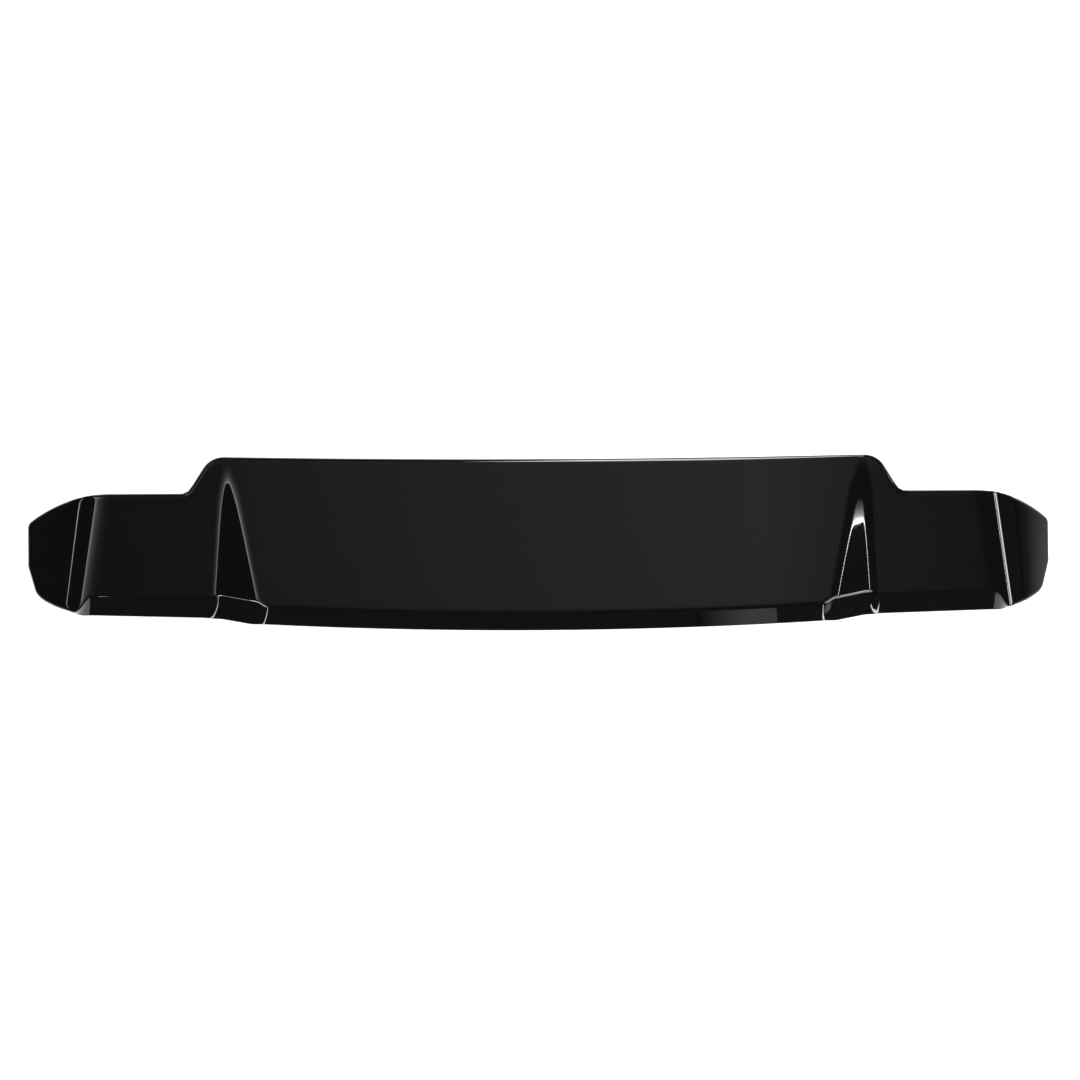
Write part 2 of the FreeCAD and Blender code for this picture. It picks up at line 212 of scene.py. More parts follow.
# Mesh columns over the centre panel, a ramp, a wing and a tip, and around the tip's end
COLUMNS = (50, 90, 18, 90)
END_COLUMNS = 12

# Rounds that settle where a leaned wall meets a skin
SETTLE_ROUNDS = 12


def crease(z, x, at, height, slope_in, slope_out, radius):
    """Heights z with a true round where a profile's slope changes."""
    turn = np.arctan(slope_out) - np.arctan(slope_in)
    side = np.sign(turn)
    reach = radius * np.tan(np.abs(turn) / 2)
    cos_in = 1 / np.sqrt(1 + slope_in ** 2)
    cos_out = 1 / np.sqrt(1 + slope_out ** 2)
    start = at - reach * cos_in
    centre_x = start - side * radius * slope_in * cos_in
    centre_z = height - reach * slope_in * cos_in + side * radius * cos_in
    arc = centre_z - side * np.sqrt(np.maximum(radius ** 2 - (x - centre_x) ** 2, 0))
    return np.where((x > start) & (x < at + reach * cos_out), arc, z)


def soft_turn(z, x, height, slope, form):
    """Heights z with a turn from level to this slope at x = 0 that begins gently and ends tightly."""
    lead, trail = form.tip_lead, form.tip_trail
    inside = np.clip(lead + x, 0, lead + trail)
    s = (np.sqrt(lead ** 2 + (trail - lead) * inside) - lead) / (trail - lead)
    return np.where((x > -lead) & (x < trail), height + slope * trail * s ** 2, z)


def top_height(form, x, y):
    """Height of the top skin: crowned centre, ramp, wing and sloped tip."""
    x = np.abs(x)
    share = (form.front_station - y) / (form.front_station + form.rear_station)
    upper = form.apex - form.crease_run * share
    lower = form.apex + form.apex_width + (form.ramp_width - form.crease_run - form.apex_width) * share
    tip = form.half_span - form.tip_run_front + (form.tip_run_front - form.tip_run_rear) * share
    fade = 1 - np.exp(-(np.maximum(share, 0) / APEX_FADE) ** 2)
    wing = form.panel_height - (form.apex_drop + (form.step_drop - form.apex_drop) * share) * fade
    ramp_slope = (wing - form.panel_height) / (lower - upper)
    end = form.half_span - form.end_run
    tip_slope = (form.rim_depth - wing) / (end - tip)
    tip_start = tip_slope + 4 * form.tip_bulge / (end - tip)
    out = np.clip((x - tip - form.tip_trail) / (end - tip - form.tip_trail), 0, 1)
    radius = form.crease_radius * (1 + APEX_SOFTENING * np.exp(-(share / APEX_SOFT) ** 2))
    z = form.panel_height + form.crown * (1 - (x / upper) ** 2)
    z = np.where(x > upper, form.panel_height + ramp_slope * (x - upper), z)
    z = np.where(x > lower, wing, z)
    z = np.where(x > tip, wing + tip_start * (x - tip) - 4 * form.tip_bulge * out ** 2, z)
    z = crease(z, x, upper, form.panel_height, -2 * form.crown / upper, ramp_slope, radius)
    z = crease(z, x, lower, wing, ramp_slope, 0 * wing, radius)
    return soft_turn(z, x - tip, wing, tip_start, form)


def round_corners(corners, steps=14):
    """A path through corners (x, y, radius), with an arc at each corner that has a radius."""
    path = []
    for i, (x, y, radius) in enumerate(corners):
        here = Vector((x, y))
        if radius == 0:
            path.append(here)
            continue
        back = (Vector(corners[i - 1][:2]) - here).normalized()
        ahead = (Vector(corners[i + 1][:2]) - here).normalized()
        half = back.angle(ahead) / 2
        centre = here + (back + ahead).normalized() * (radius / math.sin(half))
        start = here + back * (radius / math.tan(half)) - centre
        turn = start.angle_signed(here + ahead * (radius / math.tan(half)) - centre)
        for step in range(steps + 1):
            path.append(centre + Matrix.Rotation(-turn * step / steps, 2) @ start)
    return np.array(path)


def front_corners(form):
    """Corners of the right half's front edge, from the middle to the tip."""
    wing_front = form.tongue_front - form.tongue_depth
    sweep = form.half_span - form.tip_sweep_run
    corners = [(x, form.tongue_front - form.tongue_bow * (1 - (x / form.tongue_half) ** 2), 0)
               for x in np.linspace(0, form.tongue_half - form.corner_radius, BOW_POINTS)]
    corners += [(form.tongue_half, form.tongue_front, form.corner_radius),
                (form.tongue_half + form.shoulder_run, wing_front, form.notch_radius)]
    end = form.half_span - form.end_run
    for x in np.linspace(sweep, end - form.end_radius, SWEEP_POINTS):
        drop = form.tip_sweep_radius - math.sqrt(form.tip_sweep_radius ** 2 - (x - sweep) ** 2)
        corners.append((x, wing_front - drop, 0))
    drop = form.tip_sweep_radius - math.sqrt(form.tip_sweep_radius ** 2 - (end - sweep) ** 2)
    return corners + [(end, wing_front - drop, form.end_radius)]


def lip_kinks(form):
    """Half widths at which the lip turns onto a ramp and off it."""
    return (form.apex - LIP_IN * form.crease_run,
            form.apex + form.apex_width + LIP_OUT * (form.ramp_width - form.crease_run - form.apex_width))


def lip_corners(form):
    """Corners of the lip's cut at panel height, from the middle to past the tip."""
    lip_in, lip_out = lip_kinks(form)
    lip_tip = form.half_span - form.tip_run_front + LIP_TIP * (form.tip_run_front - form.tip_run_rear)
    y_in = form.trailing_bow - form.fold_mid
    y_tip = y_in + form.lip_step + form.lip_sweep
    y_knee = y_tip + form.knee_rise
    corners = [(x, -form.fold_mid + form.trailing_bow * (x / lip_in) ** 2, 0)
               for x in np.linspace(0, lip_in - form.corner_radius, BOW_POINTS)]
    return corners + [
        (lip_in, y_in, form.lip_radius),
        (lip_out, y_in + form.lip_step, form.lip_radius),
        (lip_tip, y_tip, form.tip_corner_radius),
        (form.half_span - form.knee_run, y_knee, form.lip_radius),
        (form.half_span + form.knee_run, y_knee + KNEE_AIM * form.knee_run, 0),
    ]


def smooth(value):
    """A soft step from 0 to 1."""
    value = np.clip(value, 0, 1)
    return value ** 2 * (3 - 2 * value)


def settle(step, value):
    """Repeat a step until its value has settled."""
    for _ in range(SETTLE_ROUNDS):
        value = step(value)
    return value


def lip_lean(form, x):
    """Rearward lean of the lip, which is more across a ramp and runs out where the tip begins."""
    x = np.abs(x)
    ramp_in, ramp_out = lip_kinks(form)
    ramp = (smooth((x - ramp_in) / form.lip_ease + EASE_IN)
            * smooth((ramp_out - x) / form.lip_ease + EASE_OUT))
    out = smooth((x - form.half_span + form.lip_start) / (form.lip_start - form.lip_end))
    return (form.lip_run + form.lip_ramp * ramp) / form.rim_depth * (1 - out)


def fold_line(form, x):
    """Where the leaned lip meets the top skin at these half widths, above its lower edge."""
    cut = round_corners(lip_corners(form))
    base = np.interp(x, cut[:, 0], cut[:, 1])
    full, lean = form.lip_run / form.rim_depth, lip_lean(form, x)
    top = form.panel_height + form.rim_depth
    low = settle(lambda y: base - (top - top_height(form, x, y)) * full, base)
    belly = np.clip((x - form.half_span + form.lip_end) / (form.lip_end - form.knee_run), 0, 1)
    low = low - form.tip_belly * np.sin(math.pi * belly)
    low_height = top_height(form, x, low)
    return settle(lambda y: low + lean * (top_height(form, x, y) - low_height + form.rim_depth), low)


def half_outline(form):
    """Front and rear edge of the top skin, right half, as two paths whose x runs out to the tip's end."""
    end = form.half_span - form.end_run
    x = np.concatenate([np.linspace(0, end - form.end_radius, FOLD_POINTS), [end]])
    fold = [(a, b, 0) for a, b in zip(x, fold_line(form, x))]
    fold[-1] = (*fold[-1][:2], form.end_radius)
    path = round_corners(front_corners(form) + fold[::-1])
    turn = int(np.argmax(path[:, 0] > end - 1e-7))
    return path[:turn + 1], path[:turn:-1]


def half_columns(form):
    """Half widths of the mesh's columns, close together on the creases and around the tip's end."""
    margin = form.crease_radius / 4
    ramp = form.apex - form.crease_run - margin
    wing = form.apex + form.ramp_width - form.crease_run + margin
    tip = form.half_span - form.tip_run_front - form.tip_lead
    end = form.half_span - form.end_run - form.end_radius
    stops = (0, ramp, wing, tip, end)
    parts = [np.linspace(a, b, count) for a, b, count in zip(stops, stops[1:], COLUMNS)]
    parts.append(end + form.end_radius * np.sin(np.linspace(0, math.pi / 2, END_COLUMNS)))
    return np.unique(np.concatenate(parts).round(7))


def unit(vectors):
    """Vectors brought to length one."""
    return vectors / np.linalg.norm(vectors, axis=1)[:, None]


def plan_normals(ring):
    """Outward direction in plan at each point of a closed ring that runs clockwise."""
    along = np.roll(ring, -1, axis=0) - np.roll(ring, 1, axis=0)
    return unit(np.column_stack([-along[:, 1], along[:, 0]]))


class ShellMesh:
    """Points and faces of the shell: two skins on one grid, joined around the edge by rings."""
    ROWS = 40
    EDGE_STEPS = 8
    SKIRT_SHARES = (0.33, 0.67)
    RIM_NIP = 0.3
    PROBE = 0.5 * MM

    def __init__(self, form):
        self.form = form
        half = half_columns(form)
        self.columns = np.concatenate([-half[:0:-1], half])
        self.share = np.linspace(0, 1, self.ROWS + 1)
        self.points = []
        self.count = 0
        self.quads = []
        self.inner_from = None

    def ring_index(self):
        """Grid places (column, row) of the edge, clockwise from above, from the front left corner."""
        last, rows = len(self.columns) - 1, self.ROWS
        front = [(i, 0) for i in range(last + 1)]
        right = [(last, j) for j in range(1, rows)]
        rear = [(i, rows) for i in range(last, -1, -1)]
        left = [(0, j) for j in range(rows - 1, 0, -1)]
        return np.array(front + right + rear + left)

    def edge(self):
        """The unrounded top edge, the wall's rearward and outward lean, and its share of the lip."""
        form = self.form
        front, rear = half_outline(form)
        x = np.abs(self.columns)
        front_y = np.interp(x, front[:, 0], front[:, 1])
        rear_y = np.interp(x, rear[:, 0], rear[:, 1])
        column, row = self.ring_index().T
        share = self.share[row]
        y = front_y[column] * (1 - share) + rear_y[column] * share
        plan = np.column_stack([self.columns[column], y])
        near_end = np.clip(1 + (np.abs(plan[:, 0]) - x.max()) / form.end_run, 0, 1)
        flare = np.sign(plan[:, 0]) * near_end ** 2 * form.end_run / form.rim_depth
        lean = share * lip_lean(form, plan[:, 0])
        return plan, lean, flare, lean * form.rim_depth / form.lip_run

    def add(self, points):
        """Add points and return their indices."""
        self.points.append(points)
        self.count += len(points)
        return np.arange(self.count - len(points), self.count)

    def on_skin(self, plan, under=0.0):
        """Points at these places on the top skin, or this far under it."""
        return np.column_stack([plan, top_height(self.form, plan[:, 0], plan[:, 1]) - under])

    def add_skin(self, ring_plan, under, flip):
        """A skin whose columns run straight from the ring's front to its rear. Returns its edge."""
        columns, rows = len(self.columns), self.ROWS
        index = self.ring_index()
        side = {tuple(place): point for place, point in zip(index, ring_plan)}
        front = np.array([side[i, 0] for i in range(columns)])
        rear = np.array([side[i, rows] for i in range(columns)])
        share = self.share[None, :, None]
        plan = front[:, None] * (1 - share) + rear[:, None] * share
        for end in (0, columns - 1):
            plan[end] = [side[end, j] for j in range(rows + 1)]
        grid = self.add(self.on_skin(plan.reshape(-1, 2), under)).reshape(columns, rows + 1)
        corners = [grid[:-1, :-1], grid[:-1, 1:], grid[1:, 1:], grid[1:, :-1]]
        self.quads.append(np.stack(corners[::-1] if flip else corners, axis=-1).reshape(-1, 4))
        return grid[index[:, 0], index[:, 1]]

    def join(self, rings):
        """Faces between each ring and the next one, going outward and down."""
        for upper, lower in zip(rings, rings[1:]):
            corners = [upper, np.roll(upper, -1), np.roll(lower, -1), lower]
            self.quads.append(np.stack(corners, axis=-1))

    def top_radius(self, plan, fold):
        """Radius of the top edge: larger along the lip and tighter where the lip runs out."""
        form = self.form
        inside = form.half_span - np.abs(plan[:, 0])
        ease = form.lip_ease / 2
        begun = smooth((form.lip_start - inside) / ease + 1)
        left = smooth((inside - form.lip_end) / ease + 1)
        radius = form.edge_radius + (form.fold_radius - form.edge_radius) * fold
        return radius * (1 - RUN_OUT_TIGHT * begun * left)

    def add_top(self, plan, wall, radius):
        """The top skin and its rounded edge. Returns the rings and where the round meets the wall."""
        edge = self.on_skin(plan)
        inward = unit(self.on_skin(plan - plan_normals(plan) * self.PROBE) - edge)
        between = np.arccos(np.clip((inward * wall).sum(axis=1), -1, 1))
        reach = (radius / np.tan(between / 2))[:, None]
        weight = np.sin(between / 2)[:, None]
        start, finish = edge + inward * reach, edge + wall * reach
        rings = [self.add_skin(start[:, :2], 0.0, flip=False)]
        for s in np.linspace(0, 1, self.EDGE_STEPS + 1)[1:]:
            parts = ((1 - s) ** 2, 2 * s * (1 - s) * weight, s ** 2)
            rings.append(self.add((parts[0] * start + parts[1] * edge + parts[2] * finish) / sum(parts)))
        return rings, finish

    def add_skirt(self, lower, toe, wall, finish):
        """The wall from the rounded edge down, its rounded lower rim and the toe inside it."""
        rim = unit(toe - lower)
        radius = self.form.rim_radius
        rings = [finish * (1 - s) + lower * s for s in self.SKIRT_SHARES]
        rings += [lower - wall * 2 * radius, lower - wall * radius,
                  lower + (rim - wall) * self.RIM_NIP * radius, lower + rim * radius, toe]
        return [self.add(ring) for ring in rings]

    def build(self):
        """Points and quads, with the outside first and the inside last."""
        form = self.form
        plan, lean, flare, fold = self.edge()
        edge = self.on_skin(plan)
        zero = np.zeros(len(plan))
        wall = unit(np.column_stack([flare, -lean, zero - 1]))
        rings, finish = self.add_top(plan, wall, self.top_radius(plan, fold))

        x, y = plan.T
        fall = settle(lambda f: edge[:, 2] - top_height(form, x, y - lean * f) + form.rim_depth,
                      zero + form.rim_depth)
        lower = edge + np.column_stack([flare * fall, -lean * fall, -fall])
        inset = form.wall * np.sqrt(1 + lean ** 2)
        toe = lower - np.column_stack([plan_normals(lower[:, :2]) * inset[:, None], zero])
        toe[:, 2] = np.maximum(top_height(form, toe[:, 0], toe[:, 1]) - form.rim_depth, lower[:, 2])
        rings += self.add_skirt(lower, toe, wall, finish)
        self.join(rings)

        self.inner_from = sum(len(q) for q in self.quads)
        lean = lip_lean(form, toe[:, 0]) * self.share[self.ring_index()[:, 1]]
        climb = settle(lambda c: top_height(form, toe[:, 0], toe[:, 1] + lean * c) - form.wall - toe[:, 2],
                       fall - form.wall)
        inner = self.add_skin(toe[:, :2] + np.column_stack([zero, lean * climb]), form.wall, flip=True)
        self.join([rings[-1], inner])
        return np.concatenate(self.points), np.concatenate(self.quads)


# Finishes

GLOSS_NAME = "gloss_black_moulded_abs"
SATIN_NAME = "satin_black_moulded_abs"

# Sizes of the patterns in millimetres: flow clouds, polishing haze and the mould's faint waviness.
# Spark-eroded grain is about 0.3 mm; it is drawn at 1.2 mm so that it shows.
FLOW_MM, HAZE_MM, PEEL_MM = 60, 25, 14
GRAIN_MM = 1.2


def add_node(tree, kind, inputs=None, **settings):
    """Add a node, set its properties, and set or link its inputs."""
    node = tree.nodes.new(kind)
    for name, value in settings.items():
        setattr(node, name, value)
    for socket, value in (inputs or {}).items():
        if isinstance(value, bpy.types.NodeSocket):
            tree.links.new(value, node.inputs[socket])
        else:
            node.inputs[socket].default_value = value
    return node


def new_material(name):
    """An empty material's tree, with its output node."""
    material = bpy.data.materials.new(name)
    material.use_nodes = True
    tree = material.node_tree
    tree.nodes.clear()
    return material, tree, add_node(tree, "ShaderNodeOutputMaterial")


def per_mm(size):
    """Noise scale whose features are about this many millimetres across."""
    return 1 / (size * MM)


def mix_colours(tree, share, first, second):
    """The colour output of a mix of two colours."""
    mix = add_node(tree, "ShaderNodeMix", {"Factor": share}, data_type="RGBA")
    sockets = {i.name: i for i in mix.inputs if i.type == "RGBA"}
    sockets["A"].default_value = (*first, 1)
    sockets["B"].default_value = (*second, 1)
    return next(o for o in mix.outputs if o.type == "RGBA")


def gloss_abs(finish):
    """Polished black ABS off a mirror-finished mould: deep black, sharp reflections that waver a little."""
    material, tree, output = new_material(GLOSS_NAME)
    place = add_node(tree, "ShaderNodeTexCoord").outputs["Object"]
    cloud = add_node(tree, "ShaderNodeTexNoise", {"Vector": place, "Scale": per_mm(FLOW_MM), "Detail": 3.0})
    tone = mix_colours(tree, cloud.outputs["Fac"], finish.gloss, finish.gloss_flow)
    haze = add_node(tree, "ShaderNodeTexNoise", {"Vector": place, "Scale": per_mm(HAZE_MM), "Detail": 4.0})
    rough = add_node(tree, "ShaderNodeMapRange", {"Value": haze.outputs["Fac"], "To Min": 0.008,
                                                 "To Max": 0.025})
    peel = add_node(tree, "ShaderNodeTexNoise", {"Vector": place, "Scale": per_mm(PEEL_MM), "Detail": 1.0})
    bump = add_node(tree, "ShaderNodeBump", {"Height": peel.outputs["Fac"], "Strength": 0.05,
                                             "Distance": 0.1 * MM})
    shader = add_node(tree, "ShaderNodeBsdfPrincipled", {
        "Base Color": tone, "Roughness": rough.outputs["Result"], "IOR": 1.53,
        "Normal": bump.outputs["Normal"]})
    tree.links.new(shader.outputs["BSDF"], output.inputs["Surface"])
    return material


def satin_abs(finish):
    """The same ABS off an unpolished mould face: satin, with a fine even grain."""
    material, tree, output = new_material(SATIN_NAME)
    place = add_node(tree, "ShaderNodeTexCoord").outputs["Object"]
    grain = add_node(tree, "ShaderNodeTexNoise", {"Vector": place, "Scale": per_mm(GRAIN_MM), "Detail": 2.0})
    tone = mix_colours(tree, grain.outputs["Fac"], finish.satin, finish.satin_flow)
    bump = add_node(tree, "ShaderNodeBump", {"Height": grain.outputs["Fac"], "Strength": 0.25,
                                             "Distance": 0.15 * MM})
    shader = add_node(tree, "ShaderNodeBsdfPrincipled", {
        "Base Color": tone, "Roughness": 0.48, "IOR": 1.53, "Normal": bump.outputs["Normal"]})
    tree.links.new(shader.outputs["BSDF"], output.inputs["Surface"])
    return material


def gloss_material():
    """The polished ABS, made once."""
    return bpy.data.materials.get(GLOSS_NAME) or gloss_abs(bpy.context.scene.spoiler_finish)


def satin_material():
    """The satin ABS, made once."""
    return bpy.data.materials.get(SATIN_NAME) or satin_abs(bpy.context.scene.spoiler_finish)


# Pieces

SHARP_ANGLE = math.radians(35)

# A rib's chamfer as a share of half its thickness, and the steps along a cross rib and the long rib
RIB_CHAMFER = 0.2
CROSS_STEPS, LONG_STEPS = 13, 161

BOSS_SIDES = 48
BOSS_CHAMFER = 0.4 * MM


def add_piece(name, points, faces, materials, places=None):
    """A finished piece at the origin, smooth but for its sharp edges."""
    mesh = bpy.data.meshes.new(name)
    mesh.from_pydata(points, [], faces)
    for material in materials:
        mesh.materials.append(material)
    mesh.shade_smooth()
    if places is not None:
        mesh.polygons.foreach_set("material_index", places)
    mesh.set_sharp_from_angle(angle=SHARP_ANGLE)
    mesh.update()
    if mesh.validate():
        raise RuntimeError(name + " had faulty faces")
    piece = bpy.data.objects.new(name, mesh)
    bpy.context.scene.collection.objects.link(piece)
    return piece


def rib_mesh(upper, lower, across):
    """A rib between an upper and a lower line, this far to each side, with its lower corners chamfered."""
    nip = RIB_CHAMFER * across
    rise = np.array([0, 0, np.linalg.norm(nip)])
    lines = [upper - across, upper + across, lower + across + rise, lower + across - nip,
             lower - across + nip, lower - across + rise]
    count, sides = len(upper), len(lines)
    points = np.stack(lines, axis=1).reshape(-1, 3)
    at = np.arange(count * sides).reshape(count, sides)
    turn = np.roll(at, -1, axis=1)
    faces = np.stack([at[:-1], at[1:], turn[1:], turn[:-1]], axis=-1).reshape(-1, 4).tolist()
    return points, faces + [at[0].tolist(), at[-1, ::-1].tolist()]


def cross_rib(form, under, x):
    """A rib from the front wall to the leaned lip, its ends inside both."""
    level = form.panel_height - form.wall - under.rib_depth
    front_path, rear_path = half_outline(form)
    front = np.interp(abs(x), front_path[:, 0], front_path[:, 1]) - form.wall / 2
    fold = np.interp(abs(x), rear_path[:, 0], rear_path[:, 1])
    slope = form.lip_run / form.rim_depth
    fall = top_height(form, x, fold) - level
    rear = fold - slope * fall + form.wall / 2 * math.sqrt(1 + slope ** 2)
    share = np.linspace(0, 1, CROSS_STEPS)
    lower_y = front + (rear - front) * share
    upper_y = front + (rear + slope * (fall - form.wall / 2) - front) * share
    level_x = np.full(len(share), x)
    upper = np.column_stack([level_x, upper_y, top_height(form, level_x, upper_y) - form.wall / 2])
    lower = np.column_stack([level_x, lower_y, np.full(len(share), level)])
    return rib_mesh(upper, lower, np.array([under.rib_width / 2, 0, 0]))


def long_rib(form, under):
    """A rib along the middle of the centre panel that dies into the ramps."""
    level = form.panel_height - form.wall - under.rib_depth
    x = np.linspace(-form.tongue_half, form.tongue_half, LONG_STEPS)
    roof = top_height(form, x, 0 * x) - form.wall / 2
    kept = roof > level + form.wall / 4
    upper = np.column_stack([x, 0 * x, roof])[kept]
    lower = np.column_stack([x, 0 * x, np.full(len(x), level)])[kept]
    return rib_mesh(upper, lower, np.array([0, under.rib_width / 2, 0]))


def boss_mesh(form, under):
    """One screw boss with its pilot hole, turned about its own axis, at its own height."""
    seat = form.panel_height - form.rim_depth + under.boss_lift
    roof = top_height(form, np.array(under.boss_side), np.array(under.boss_front)) - form.wall / 2
    outer, pilot = under.boss_diameter / 2, under.pilot_diameter / 2
    nip = BOSS_CHAMFER
    profile = [(pilot, seat + under.pilot_depth), (pilot, seat + nip), (pilot + nip, seat),
               (outer - nip, seat), (outer, seat + nip), (outer, float(roof))]
    turns = np.linspace(0, 2 * math.pi, BOSS_SIDES, endpoint=False)
    points = [(r * math.cos(a), r * math.sin(a), z) for r, z in profile for a in turns]
    at = np.arange(len(points)).reshape(len(profile), BOSS_SIDES)
    turn = np.roll(at, -1, axis=1)
    faces = np.stack([at[:-1], turn[:-1], turn[1:], at[1:]], axis=-1).reshape(-1, 4).tolist()
    return points, faces + [at[0, ::-1].tolist(), at[-1].tolist()]


def boss_tree(material):
    """Nodes that set the object's own mesh at the four corners of a rectangle."""
    tree = bpy.data.node_groups.new("boss_rectangle", "GeometryNodeTree")
    tree.interface.new_socket("Geometry", in_out="INPUT", socket_type="NodeSocketGeometry")
    sizes = {name: tree.interface.new_socket(name, in_out="INPUT", socket_type="NodeSocketFloat").identifier
             for name in ("Across", "Along", "Forward")}
    tree.interface.new_socket("Geometry", in_out="OUTPUT", socket_type="NodeSocketGeometry")
    given = add_node(tree, "NodeGroupInput").outputs
    corners = add_node(tree, "GeometryNodeMeshGrid", {"Size X": given["Across"], "Size Y": given["Along"],
                                                      "Vertices X": 2, "Vertices Y": 2})
    shift = add_node(tree, "ShaderNodeCombineXYZ", {"Y": given["Forward"]})
    moved = add_node(tree, "GeometryNodeTransform", {"Geometry": corners.outputs["Mesh"],
                                                     "Translation": shift.outputs["Vector"]})
    placed = add_node(tree, "GeometryNodeInstanceOnPoints", {"Points": moved.outputs["Geometry"],
                                                             "Instance": given["Geometry"]})
    real = add_node(tree, "GeometryNodeRealizeInstances", {"Geometry": placed.outputs["Instances"]})
    dressed = add_node(tree, "GeometryNodeSetMaterial", {"Geometry": real.outputs["Geometry"],
                                                         "Material": material})
    add_node(tree, "NodeGroupOutput", {"Geometry": dressed.outputs["Geometry"]})
    return tree, sizes


def keep_result(piece):
    """Make a piece's modifiers part of its plain mesh."""
    evaluated = piece.evaluated_get(bpy.context.evaluated_depsgraph_get())
    mesh = bpy.data.meshes.new_from_object(evaluated)
    piece.modifiers.clear()
    piece.data = mesh
    mesh.name = piece.name


class SPOILER_OT_shell(bpy.types.Operator):
    """Build the moulded shell over its solid"""
    bl_idname = "spoiler.shell"
    bl_label = "Moulded shell"

    def execute(self, context):
        maker = ShellMesh(context.scene.spoiler_form)
        points, quads = maker.build()
        places = np.zeros(len(quads), np.int32)
        places[maker.inner_from:] = 1
        shell = add_piece("moulded_shell", points.tolist(), quads.tolist(),
                          [gloss_material(), satin_material()], places)
        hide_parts(NODE)
        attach(shell, BODY)
        return {"FINISHED"}


class SPOILER_OT_ribs(bpy.types.Operator):
    """Build the stiffening ribs under the centre panel"""
    bl_idname = "spoiler.ribs"
    bl_label = "Underside ribs"

    def execute(self, context):
        form, under = context.scene.spoiler_form, context.scene.spoiler_underside
        first, second = under.rib_first, under.rib_first + under.rib_pitch
        ribs = [long_rib(form, under)]
        ribs += [cross_rib(form, under, x) for x in (-second, -first, first, second)]
        points, faces = [], []
        for rib_points, rib_faces in ribs:
            faces += [[len(points) + i for i in face] for face in rib_faces]
            points += rib_points.tolist()
        piece = add_piece("underside_ribs", points, faces, [satin_material()])
        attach(piece, BODY)
        return {"FINISHED"}


class SPOILER_OT_bosses(bpy.types.Operator):
    """Build the four screw bosses under the centre panel"""
    bl_idname = "spoiler.bosses"
    bl_label = "Screw bosses"

    def execute(self, context):
        form, under = context.scene.spoiler_form, context.scene.spoiler_underside
        piece = add_piece("screw_bosses", *boss_mesh(form, under), [satin_material()])
        tree, sizes = boss_tree(satin_material())
        modifier = piece.modifiers.new("bosses", "NODES")
        modifier.node_group = tree
        modifier[sizes["Across"]] = 2 * under.boss_side
        modifier[sizes["Along"]] = under.boss_front + under.boss_rear
        modifier[sizes["Forward"]] = (under.boss_front - under.boss_rear) / 2
        keep_result(piece)
        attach(piece, BODY)
        return {"FINISHED"}


# Studio

def place_camera(stage):
    """A long lens nearly straight above the part, a little to its left and rear."""
    side, rear, roll = stage.camera_side, stage.camera_rear, stage.camera_roll
    back = Vector((-math.sin(side), -math.cos(side) * math.sin(rear), math.cos(side) * math.cos(rear)))
    right = Vector((0, math.cos(rear), math.sin(rear))).cross(back).normalized()
    up = back.cross(right)
    right, up = right * math.cos(roll) + up * math.sin(roll), up * math.cos(roll) - right * math.sin(roll)
    pixel = stage.camera_distance / FOCAL_PIXELS
    aim = Vector((0, stage.aim_forward, stage.aim_height))
    aim += (up * stage.offset_down - right * stage.offset_across) * pixel
    camera = bpy.data.objects.new("camera", bpy.data.cameras.new("camera"))
    camera.data.lens = FOCAL_PIXELS / IMAGE_SIDE * camera.data.sensor_width
    camera.data.clip_end = 100
    camera.matrix_world = Matrix.Translation(aim + back * stage.camera_distance) @ Matrix(
        (right, up, back)).transposed().to_4x4()
    bpy.context.scene.collection.objects.link(camera)
    bpy.context.scene.camera = camera


def add_plane(name, corners, material):
    """A flat piece of the studio."""
    mesh = bpy.data.meshes.new(name)
    mesh.from_pydata(corners, [], [tuple(range(len(corners)))])
    mesh.materials.append(material)
    plane = bpy.data.objects.new(name, mesh)
    bpy.context.scene.collection.objects.link(plane)
    return plane


def floor_material(stage):
    """Matt pale paper that reads as white and still takes the part's shadow."""
    material, tree, output = new_material("matt_white_paper")
    path = add_node(tree, "ShaderNodeLightPath")
    seen = path.outputs["Is Camera Ray"]
    for ray in ("Is Glossy Ray", "Is Transmission Ray"):
        either = add_node(tree, "ShaderNodeMath", {0: seen, 1: path.outputs[ray]}, operation="MAXIMUM")
        seen = either.outputs[0]
    # The glow is whole near the part and fades out, so that the floor has no edge in other views
    place = add_node(tree, "ShaderNodeTexCoord").outputs["Object"]
    away = add_node(tree, "ShaderNodeVectorMath", {0: place}, operation="LENGTH")
    near = add_node(tree, "ShaderNodeMapRange", {"Value": away.outputs["Value"], "From Min": 1.0,
                                                "From Max": 2.8, "To Min": 0.72, "To Max": 0.0})
    level = add_node(tree, "ShaderNodeMath", {0: seen, 1: near.outputs["Result"]}, operation="MULTIPLY")
    paper = add_node(tree, "ShaderNodeBsdfDiffuse", {"Color": (*stage.floor_colour, 1)})
    glow = add_node(tree, "ShaderNodeEmission", {"Color": (1, 1, 1, 1), "Strength": level.outputs[0]})
    both = add_node(tree, "ShaderNodeAddShader", {0: paper.outputs[0], 1: glow.outputs[0]})
    tree.links.new(both.outputs[0], output.inputs["Surface"])
    return material


